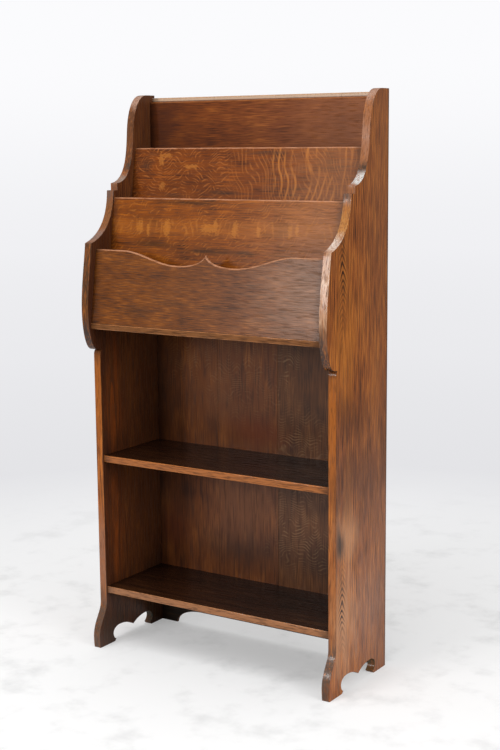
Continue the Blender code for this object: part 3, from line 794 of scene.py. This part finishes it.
# The painted shade of the inner face ends in one step, a millimetre into the board
INSIDE_MM = INNER_MM + 1
STEP_MM = 0.01
MOTTLE_EDGE = (0.22, 0.6)
EDGE_FLECKS_MM = (2.6, 24)
FLECK_CUT = (0.52, 0.68)
for side, seed in (("left", 3), ("right", 7)):
    tree, place = start_board(side + "_side_board", 1.8, GRAIN_UP_FACING_SIDE, on_outline)
    ragged = grained(tree, place, (16, 70), seed + 3)
    grain = [(12, 300, seed + 4, 0.2), (3.2, 50, seed + 5, 1.25), (60, 200, seed + 6, 0.5)]
    year = rings(tree, place, (-62, 40), 5, (16, 22), seed)
    # Painted shade on the inner faces, deeper towards the front
    inside = rising(tree, "X", INSIDE_MM + STEP_MM, INSIDE_MM, middle_mm=0, fade="LINEAR")
    front = rising(tree, "Y", 20, -90)
    front = add(tree, "Math", {0: front, 1: inside}, operation="MULTIPLY")
    overlays = [
        (rising(tree, "Y", -40, 110), 0.4, "#84573c"),
        (rising(tree, "Y", REAR_MM - RIM_MM, REAR_MM, fade="LINEAR"), 0.8, "#33241b"),
        (inside, 0.7, "#45281c"),
        (front, 0.74, "#3f2318"),
    ]
    if side == "left":
        lens = rings(tree, place, (-50, 14), 8, (12, 22), seed + 8)
        overlays += [
            (spots(tree, LEFT_FACE_MM["dark top"], ragged), 0.35, "#3a1a0f"),
            (spots(tree, LEFT_FACE_MM["lenses"], ragged, of=lens), 0.6, "#a04e1a"),
            (spots(tree, LEFT_FACE_MM["painted foot shade"], ragged), 0.85, "#33271d"),
        ]
    else:
        column = arches(tree, place, -64, seed)
        overlays += [
            (spots(tree, RIGHT_FACE_MM["pale"], ragged), 0.75, "#c59068"),
            (spots(tree, RIGHT_FACE_MM["painted floor reflection"], ragged), 0.25, "#8f7a72"),
            (spots(tree, RIGHT_FACE_MM["gold"], ragged), 0.5, "#b06a28"),
            (spots(tree, RIGHT_FACE_MM["arched"], ragged, of=column), 1, "#2e1407"),
            (spots(tree, RIGHT_FACE_MM["clouded"], ragged), 0.62, "#3e2012"),
            (spots(tree, RIGHT_FACE_MM["knot"], ragged), 0.9, "#2b1a12"),
        ]
    # Marks on the edges lie over the wear, mottled, with dark flecks, and some arrises are darker
    rubbed = add(tree, "Attribute", output="Fac", attribute_name="worn")
    mottled = grained(tree, place, RUB_MM, seed + 2, between=MOTTLE_EDGE)
    narrow = add(tree, "Math", {0: rubbed, 1: mottled}, operation="MULTIPLY")
    over_wear = []
    for *mark, left_tone, right_tone in EDGE_MARKS_MM:
        tone = left_tone if side == "left" else right_tone
        if tone:
            mask = spots(tree, on_side(0, ACROSS_ALL_MM, mark), ragged, of=narrow)
            over_wear.append((mask, EDGE_MARK_STRENGTH, tone))
    arris = add(tree, "MapRange", {"Value": rubbed, "From Min": EDGE_WEAR, "From Max": ROUNDED_WEAR})
    flecks = grained(tree, place, EDGE_FLECKS_MM, seed + 9, between=FLECK_CUT)
    flecks = add(tree, "Math", {0: flecks, 1: rubbed}, operation="MULTIPLY")
    dark_arris = spots(tree, DARK_ARRIS_MM, ragged, of=arris)
    over_wear += [(flecks, 1.1, "#4a2a16"), (dark_arris, 0.9, "#341e12")]
    aged = {"figure": [(year, 0.25)], "corner_shade": 0, "pore_mm": SIDE_PORE_MM}
    polish(tree, place, seed, SIDE_TONES, grain, overlays, over_wear, **aged)

# %% [markdown]
# The two open shelves have the darkest tones: a dark stain, darkened further with painted shade
# of the deep compartments. Only their front edges are worn light. The rack's floor is the same kind
# of board. The photograph shows nothing of it but that edge, which is a little less worn.

# %% Shelves
# Dark stain with the compartments' shade painted into it
SHELF_STAIN_AND_SHADE_TONES = ("#140a06", "#2a160c", "#3f2412")
for node, seed, worn_tone, worn in (
    ("bottom_shelf", 11, "#a8714a", 1.7),
    ("middle_shelf", 13, "#b06a36", 1.7),
    ("rack_base", 17, "#a56c40", 1.1),
):
    tree, place = start_board(node, 1.2, GRAIN_ACROSS_FACING_UP)
    grain = [(7, 200, seed + 1, 0.9), (2.4, 60, seed + 2, 0.8), (60, 150, seed + 3, 0.8)]
    polish(tree, place, seed, SHELF_STAIN_AND_SHADE_TONES, grain, worn=worn, evenly=0.42, worn_tone=worn_tone)

# %% [markdown]
# The front panel is the plainest board of the rack: fine straight grain that runs across, with
# no figure, and a few darker patches low down. Its top edge and those of the dividers behind it
# are worn light, and that pale tone also paints the highlight along them.

# %% Front panel
# Worn light edges, whose pale tone is also a painted highlight
RACK_EDGE_WEAR_AND_SHEEN = "#b98260"
PANEL_TONES = ("#371c0b", "#6b3a14", "#935621")
PANEL_SMUDGES_MM = (
    ((-165, -112, 765), (60, 20, 18)),
    ((-75, -110, 786), (55, 20, 10)),
    ((30, -110, 783), (45, 20, 9)),
)
# A greyish painted sheen over the right end, where the glare of the window lies
PANEL_PAINTED_SHEEN_MM = (((250, -105, 830), (170, 40, 200)),)
tree, place = start_board("front_panel", 1, GRAIN_ACROSS_LEANING)
grain = [(1.7, 28, 19, 1.15), (6, 140, 20, 0.1), (40, 90, 21, 0.7)]
ragged = grained(tree, place, (9, 50), 22)
overlays = [
    (spots(tree, PANEL_SMUDGES_MM, ragged), 0.5, "#3a2416"),
    (spots(tree, PANEL_PAINTED_SHEEN_MM, ragged), 0.4, "#8c6a52"),
]
polish(tree, place, 19, PANEL_TONES, grain, overlays, worn_tone=RACK_EDGE_WEAR_AND_SHEEN, gloss=0.29, shine=0.17)

# %% [markdown]
# The dividers are the show wood: quarter-sawn oak. The rear one has tall flames at its right, thin
# lines in the middle, and a crowd of small curls at its left. The flames are drawn three times,
# each with its own pitch, sway and slant, and each fades out where the next begins. Single golden
# flecks are spots whose soft edge is drawn in, as where a ray meets the saw.

# %% Crisp flecks
CRISP_EDGE = (0.42, 0.72)


def crisp_flecks(tree, place, marks_mm, ragged_mm, seed):
    """Spots with a sharper and more ragged edge."""
    flecks = spots(tree, marks_mm, grained(tree, place, ragged_mm, seed))
    flecks = {"Value": flecks, "From Min": CRISP_EDGE[0], "From Max": CRISP_EDGE[1]}
    return add(tree, "MapRange", flecks, **SOFTLY)


# %% Rear divider
THIN_SLANT = (0, math.radians(18), 0)
CURL_SLANT = math.radians(60)
# Where each kind of flame starts and is whole, along the grain from the board's middle
TALL_FROM_MM = (50, 90)
THIN_FROM_MM = (-50, 0)
CURLS_FROM_MM = (0, -50)
REAR_TONES = ("#421d08", "#763a11", "#98501b")
GOLDEN_FLECKS_MM = (
    ((-212, 48, 1080), (15, 20, 26)),
    ((-196, 49, 1088), (22, 20, 10)),
    ((-205, 40, 1022), (16, 20, 16)),
    ((-130, 46, 1064), (30, 20, 9)),
)
REAR_SMUDGES_MM = (
    ((45, 50, 1093), (75, 20, 6)),
    ((-250, 46, 1068), (22, 20, 22)),
    ((-175, 38, 1003), (60, 20, 7)),
    ((-40, 38, 1008), (60, 20, 8)),
)
# A lighter painted sheen over the right end, where glare falls
REAR_PAINTED_SHEEN_MM = (((230, 40, 1050), (180, 60, 200)),)
tree, place = start_board("rear_divider", 1, GRAIN_ACROSS_LEANING)
tall = flames(tree, place, 17, 40, (60, 90), (90, 20), (0.36, 0.62), 2)
slanted = add(tree, "Mapping", {"Vector": place, "Rotation": THIN_SLANT})
thin = flames(tree, slanted, 8.5, 40, (60, 60), (30, 14), (0.38, 0.6), 4)
both_ways = []
for slant, seed in ((CURL_SLANT, 6), (-CURL_SLANT, 16)):
    slanted = add(tree, "Mapping", {"Vector": place, "Rotation": (0, slant, 0)})
    both_ways.append(flames(tree, slanted, 7, 30, (30, 34), (20, 7), (0.4, 0.6), seed))
which_way = grained(tree, place, (50, 40), 18, detail=0, between=(0.46, 0.54))
curls = add(tree, "Mix", {0: which_way, 2: both_ways[0], 3: both_ways[1]}, data_type="FLOAT")
shown = []
for pattern, ends_mm in ((curls, CURLS_FROM_MM), (thin, THIN_FROM_MM), (tall, TALL_FROM_MM)):
    share = rising(tree, "Z", *ends_mm, place)
    shown.append(add(tree, "Math", {0: pattern, 1: share}, operation="MULTIPLY"))
grain = [(2, 90, 29, 1), (7, 90, 32, 0.3), (40, 60, 33, 0.7)]
ragged = grained(tree, place, (7, 40), 34)
overlays = [
    (shown[0], 0.65, "#a9622a"),
    (crisp_flecks(tree, place, GOLDEN_FLECKS_MM, (3, 8), 30), 0.45, "#b87330"),
    (shown[1], 0.55, "#a86228"),
    (shown[2], 0.7, "#bd722c"),
    (spots(tree, REAR_PAINTED_SHEEN_MM, ragged), 0.3, "#a87248"),
    (spots(tree, REAR_SMUDGES_MM, ragged), 0.6, "#37251b"),
]
SHOW_WOOD = {"worn_tone": RACK_EDGE_WEAR_AND_SHEEN, "gloss": 0.3, "shine": 0.13}
polish(tree, place, 29, REAR_TONES, grain, overlays, **SHOW_WOOD)

# %% [markdown]
# The front divider is more golden. Broad soft flecks stand in a row at half of the height that
# shows, so each of them is a spot with its own place, and arcs of flame fill the row between
# them. Below it the board is streaked darker just above the pocket.

# %% Front divider
STROKE_SLANT = (0, math.radians(-58), 0)
ROW_BELOW_MIDDLE_MM = -72
ROW_END_MM = 24
ROW_FULL_MM = 5
FRONT_TONES = ("#452107", "#7f4111", "#a25918")
BROAD_FLECKS_MM = (
    ((-210, -36, 938), (12, 20, 30)),
    ((-188, -37, 932), (7, 20, 22)),
    ((-138, -36, 937), (18, 20, 34)),
    ((-34, -36, 938), (34, 20, 18)),
    ((-14, -36, 942), (10, 20, 30)),
    ((34, -36, 938), (14, 20, 36)),
    ((92, -36, 934), (8, 20, 24)),
    ((168, -36, 938), (11, 20, 30)),
    ((184, -36, 940), (7, 20, 24)),
)
FRONT_SMUDGES_MM = (
    ((-85, -29, 991), (95, 20, 7)),
    ((-170, -42, 904), (75, 20, 13)),
    ((-30, -43, 891), (120, 20, 8)),
)
# A lighter painted sheen over the right end, where glare falls
FRONT_PAINTED_SHEEN_MM = (((230, -35, 940), (200, 60, 200)),)
tree, place = start_board("front_divider", 1, GRAIN_ACROSS_LEANING)
row = rising(tree, "X", ROW_END_MM, ROW_FULL_MM, place, middle_mm=ROW_BELOW_MIDDLE_MM)
arcs = flames(tree, place, 17, 40, (40, 60), (40, 16), (0.4, 0.6), 8)
arcs = add(tree, "Math", {0: arcs, 1: row}, operation="MULTIPLY")
slanted = add(tree, "Mapping", {"Vector": place, "Rotation": STROKE_SLANT})
strokes = flames(tree, slanted, 8, 30, (24, 34), (18, 8), (0.46, 0.64), 12)
grain = [(2, 90, 23, 1), (7, 90, 26, 0.3), (40, 60, 27, 0.7)]
ragged = grained(tree, place, (8, 50), 28)
overlays = [
    (row, 0.35, "#a35d20"),
    (strokes, 0.5, "#ab6422"),
    (arcs, 0.45, "#b06a26"),
    (crisp_flecks(tree, place, BROAD_FLECKS_MM, (3, 7), 25), 0.5, "#b97229"),
    (spots(tree, FRONT_PAINTED_SHEEN_MM, ragged), 0.3, "#ac7242"),
    (spots(tree, FRONT_SMUDGES_MM, ragged), 0.75, "#34200f"),
]
polish(tree, place, 23, FRONT_TONES, grain, overlays, **SHOW_WOOD)

# %% [markdown]
# The rack's back panel is plain again, and the photograph shows only its upper part. It stands in
# the side boards' shade, which is painted into its colour: its left end is darkened, its right end
# is painted lighter where the light falls, and painted shade darkens it towards both side boards.
# Its polish is a little dull.

# %% Back panel of the rack
BACK_PANEL_TONES = ("#401b07", "#6f360f", "#92501b")
# Painted shade over the left end, and painted light over the right end
BACK_PANEL_SHADED_END_MM = (((-290, 100, 1165), (150, 90, 300)),)
BACK_PANEL_LIT_END_MM = (((230, 100, 1165), (220, 90, 300)),)
tree, place = start_board("rack_back_panel", 1, GRAIN_ACROSS_FACING_FRONT)
grain = [(1.8, 45, 35, 1), (9, 120, 36, 0.3), (40, 120, 37, 0.7)]
ragged = grained(tree, place, (30, 60), 38)
overlays = [
    (spots(tree, BACK_PANEL_SHADED_END_MM, ragged), 0.75, "#34180f"),
    (spots(tree, BACK_PANEL_LIT_END_MM, ragged), 0.4, "#94562a"),
]
polish(tree, place, 35, BACK_PANEL_TONES, grain, overlays, corner_shade=0.6, gloss=0.34, shine=0.1)

# %% [markdown]
# The back is closed by thin upright boards from different trees. The two at the left are
# flat-sawn, with fine streaks. The two at the right are quarter-sawn, and their rays show as
# ripples that cross the grain, like sand under shallow water. The left ones have a trace of them
# too. Clouds of darker, lighter and redder stain lie where the open compartments show them. The
# top edge is rounded, and a thin pale line along it, above the rack's back panel, is a painted
# highlight.

# %% Marks on the back boards
BACK_FACE_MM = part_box("back_board_1")[0].y / MM
BACK_DEPTH_MM = 40


def on_back(*rows):
    """Marks on the back boards' front faces, from rows of place and reach sideways and upwards."""
    return [((x, BACK_FACE_MM, z), (reach_x, BACK_DEPTH_MM, reach_z)) for x, z, reach_x, reach_z in rows]


LIGHT_CLOUDS_MM = on_back((-45, 300, 120, 90), (-115, 560, 70, 170), (85, 285, 80, 90))
RED_CLOUDS_MM = on_back((-248, 240, 60, 70), (-10, 480, 100, 50))
DARK_CLOUDS_MM = on_back(
    (-262, 540, 90, 260),
    (-262, 330, 90, 90),
    (-235, 280, 80, 150),
    (140, 545, 60, 50),
    (150, 200, 70, 70),
    (-45, 200, 200, 60),
)
RIPPLED_MM = on_back(
    (95, 475, 110, 90),
    (95, 270, 110, 130),
    (60, 640, 60, 60),
    (-60, 600, 170, 130),
    (-200, 640, 110, 90),
)
print("clouds and ripples", round(BACK_FACE_MM, 1), "mm behind the stand's middle")

# %% Back boards
FLAT_SAWN = (("#3c1c0c", "#663719", "#8a5126"), 0.3)
QUARTER_SAWN = (("#321b0e", "#5b351b", "#7c4d2a"), 0.6)
# Painted highlight along the boards' top edge
TOP_EDGE_HIGHLIGHT = "#d3b497"
PANEL_TOP_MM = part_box("rack_back_panel")[1].z / MM
HIGHLIGHT_FROM_MM = (PANEL_TOP_MM + 1, PANEL_TOP_MM + 2.5)
DUSTY_FROM_MM = (INNER_MM + 1, INNER_MM + 3)
for number, (tones, rippled) in enumerate((FLAT_SAWN, FLAT_SAWN, QUARTER_SAWN, QUARTER_SAWN), 1):
    seed = 40 + 7 * number
    tree, place = start_board(f"back_board_{number}", 0.3, GRAIN_UP_FACING_FRONT)
    grain = [(2.2, 45, seed + 1, 0.75), (9, 160, seed + 2, 0.3), (60, 90, seed + 3, 0.8)]
    ragged = grained(tree, place, (20, 60), seed + 4)
    ripples = flames(tree, place, 6.5, 40, (30, 40), (14, 30), (0.4, 0.6), seed)
    overlays = [
        (spots(tree, LIGHT_CLOUDS_MM, ragged), 0.25, "#7c4c2c"),
        (spots(tree, RED_CLOUDS_MM, ragged), 0.5, "#6e2f14"),
        (spots(tree, DARK_CLOUDS_MM, ragged), 0.55, "#26150e"),
        (spots(tree, RIPPLED_MM, ragged, of=ripples), rippled, "#95704c"),
        (rising(tree, "X", *DUSTY_FROM_MM, middle_mm=0, fade="LINEAR"), 0.28, "#8a7462"),
        (rising(tree, "Z", *HIGHLIGHT_FROM_MM, fade="LINEAR"), 0.8, TOP_EDGE_HIGHLIGHT),
    ]
    thin_coat = {"worn_tone": "#a97c56", "gloss": 0.36, "shine": 0.3, "pore_mm": (2.6, 50)}
    polish(tree, place, seed, tones, grain, overlays, **thin_coat)

# %% [markdown]
# The rear plinth faces the wall, low down under the bottom shelf. It has the same oak's streaks
# under the dullest finish, and its very dark tones are painted shade from the shelf above. It has
# no marks of its own.

# %% Rear plinth
# Very dark: painted shade under the bottom shelf
PLINTH_SHADED_TONES = ("#150f08", "#241a10", "#3a2716")
tree, place = start_board("rear_plinth", 0.6, GRAIN_ACROSS_FACING_FRONT)
polish(tree, place, 70, PLINTH_SHADED_TONES, [(2.6, 40, 71, 1), (9, 160, 72, 0.8)], gloss=0.5)

# %% [markdown]
# Behind the plinth sit three glue blocks, three-cornered offcuts of pine that hold it square to
# the bottom shelf. Nobody stained or polished them, so they are bare softwood gone brown with
# age: wide soft rings, no pores, quite dull.

# %% Glue blocks
for number in (1, 2, 3):
    node, pine = f"plinth_block_{number}", f"bare_old_pine_{number}"
    tree, place = start_board(node, 0.6, GRAIN_ACROSS_FACING_UP, finish_name=pine)
    year = rings(tree, place, (5 * number, 20), 3, (6, 6), 80 + number)
    fibre = grained(tree, place, (1.2, 30), 84 + number)
    dusty = laid_over(tree, linear("#9a6a3c"), year, 1, "#6f4522")
    dusty = laid_over(tree, dusty, fibre, 1, "#7d6650")
    dents = add(tree, "Bump", {"Height": fibre, "Strength": 0.3, "Distance": 0.2 * MM})
    dull = add(tree, "MapRange", {"Value": fibre, "To Min": 0.85, "To Max": 0.6})
    into_shader(tree, {"Base Color": dusty, "Roughness": dull, "Normal": dents})

# %% [markdown]
# Small nails hold the back boards and the plinth. All of them are alike, so Geometry Nodes makes
# one nail and puts it on every place that the CAD model gives: a head, a shank behind it, each
# turned at random about its own length and none quite the same size. The tree ends in real mesh
# and a material, because an instance would be lost in the export.

# %% Steel of the nails
# Old cut steel: dull grey metal between rough brown specks of rust, half a millimetre across
RUST_SPECK = 0.5 * MM
RUST_EDGE = (0.42, 0.58)

steel = bpy.data.materials.new("rusted_cut_steel")
steel.use_nodes = True
tree = steel.node_tree
place = add(tree, "TexCoord", output="Object")
specks = add(tree, "TexNoise", {"Vector": place, "Scale": 1 / RUST_SPECK, "Detail": 3})
rust = add(tree, "MapRange", {"Value": specks, "From Min": RUST_EDGE[0], "From Max": RUST_EDGE[1]}, **SOFTLY)
skin = laid_over(tree, linear("#6e6862"), rust, 1, "#5a2f19")
bare = add(tree, "MapRange", {"Value": rust, "To Min": 0.95, "To Max": 0.1})
dull = add(tree, "MapRange", {"Value": rust, "To Min": 0.4, "To Max": 0.85})
pits = add(tree, "Bump", {"Height": specks, "Strength": 0.5, "Distance": 0.1 * MM})
into_shader(tree, {"Base Color": skin, "Metallic": bare, "Roughness": dull, "Normal": pits})

# %% One nail on every place
nail_nodes = sorted(name for name in nodes if name.startswith("back_nail_"))
nail_low, nail_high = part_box(nail_nodes[0])
NAIL_SIZES = {
    "Head Radius": (nail_high.x - nail_low.x) / 2,
    "Head Thickness": 0.9 * MM,
    "Shank Radius": 1 * MM,
    "Nail Length": nail_high.y - nail_low.y,
}
NAIL_SIDES = 12
HEAD_TOP_SHARE = 0.78
SMALLEST_NAIL = 0.88
LYING = -math.pi / 2

nail_tree = bpy.data.node_groups.new("nails_on_places", "GeometryNodeTree")
nail_tree.interface.new_socket("Places", in_out="INPUT", socket_type="NodeSocketGeometry")
for size in NAIL_SIZES:
    nail_tree.interface.new_socket(size, in_out="INPUT", socket_type="NodeSocketFloat")
nail_tree.interface.new_socket("Nails", in_out="OUTPUT", socket_type="NodeSocketGeometry")
given = add(nail_tree, "NodeGroupInput").node.outputs
radius, thickness = given["Head Radius"], given["Head Thickness"]
top = add(nail_tree, "Math", {0: radius, 1: HEAD_TOP_SHARE}, operation="MULTIPLY")
head = {"Vertices": NAIL_SIDES, "Radius Bottom": radius, "Radius Top": top, "Depth": thickness}
head = add(nail_tree, "GeometryNodeMeshCone", head)
length = add(nail_tree, "Math", {0: given["Nail Length"], 1: thickness}, operation="SUBTRACT")
shank = {"Vertices": NAIL_SIDES, "Radius": given["Shank Radius"], "Depth": length}
shank = add(nail_tree, "GeometryNodeMeshCylinder", shank)
down = add(nail_tree, "Math", {0: length, 1: -0.5}, operation="MULTIPLY")
down = add(nail_tree, "CombineXYZ", {"Z": down})
shank = add(nail_tree, "GeometryNodeTransform", {"Geometry": shank, "Translation": down})
nail = add(nail_tree, "GeometryNodeJoinGeometry", {0: head})
nail_tree.links.new(shank, nail.node.inputs[0])
sink = add(nail_tree, "Math", {0: thickness, 1: -1}, operation="MULTIPLY")
sink = add(nail_tree, "CombineXYZ", {"Z": sink})
nail = add(nail_tree, "GeometryNodeTransform", {"Geometry": nail, "Translation": sink})
turn = {0: (LYING, 0, 0), 1: (LYING, 2 * math.pi, 0), "Seed": 5}
turn = add(nail_tree, "FunctionNodeRandomValue", turn, data_type="FLOAT_VECTOR")
size = {2: SMALLEST_NAIL, 3: 1, "Seed": 9}
size = add(nail_tree, "FunctionNodeRandomValue", size, output=1, data_type="FLOAT")
placed = {"Points": given["Places"], "Instance": nail, "Rotation": turn, "Scale": size}
placed = add(nail_tree, "GeometryNodeInstanceOnPoints", placed)
real = add(nail_tree, "GeometryNodeRealizeInstances", {"Geometry": placed})
dressed = add(nail_tree, "GeometryNodeSetMaterial", {"Geometry": real, "Material": steel})
add(nail_tree, "NodeGroupOutput", {0: dressed})
print("nail tree of", len(nail_tree.nodes), "nodes for", len(nail_nodes), "places")

# %% [markdown]
# The tree runs as a modifier on a mesh that has only a point for each nail. Its sizes are set by
# their sockets' identifiers before it is first evaluated, and the result is kept as one plain
# mesh. The points and the modifier go.

# %% The nails as one mesh
places = []
for name in nail_nodes:
    low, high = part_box(name)
    places.append(((low.x + high.x) / 2, high.y, (low.z + high.z) / 2))
place_mesh = bpy.data.meshes.new("nail_places")
place_mesh.from_pydata(places, [], [])
carrier = bpy.data.objects.new("nail_places", place_mesh)
bpy.context.scene.collection.objects.link(carrier)
modifier = carrier.modifiers.new("nails", "NODES")
modifier.node_group = nail_tree
for item in nail_tree.interface.items_tree:
    if item.name in NAIL_SIZES:
        modifier[item.identifier] = NAIL_SIZES[item.name]
evaluated = carrier.evaluated_get(bpy.context.evaluated_depsgraph_get())
nail_mesh = bpy.data.meshes.new_from_object(evaluated)
nail_mesh.name = "back_nails"
carrier.modifiers.remove(modifier)
bpy.data.objects.remove(carrier)
back_nails = bpy.data.objects.new("back_nails", nail_mesh)
bpy.context.scene.collection.objects.link(back_nails)
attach(back_nails, "root")
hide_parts(*nail_nodes)
print(len(places), "nails in one mesh of", len(nail_mesh.polygons), "faces")

# %% [markdown]
# The looks must not change the sizes. The box of the dressed model is printed, in millimetres.

# %% Size of the dressed model
low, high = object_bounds()
print("visual box in mm:", [round(1000 * side, 1) for side in high - low])
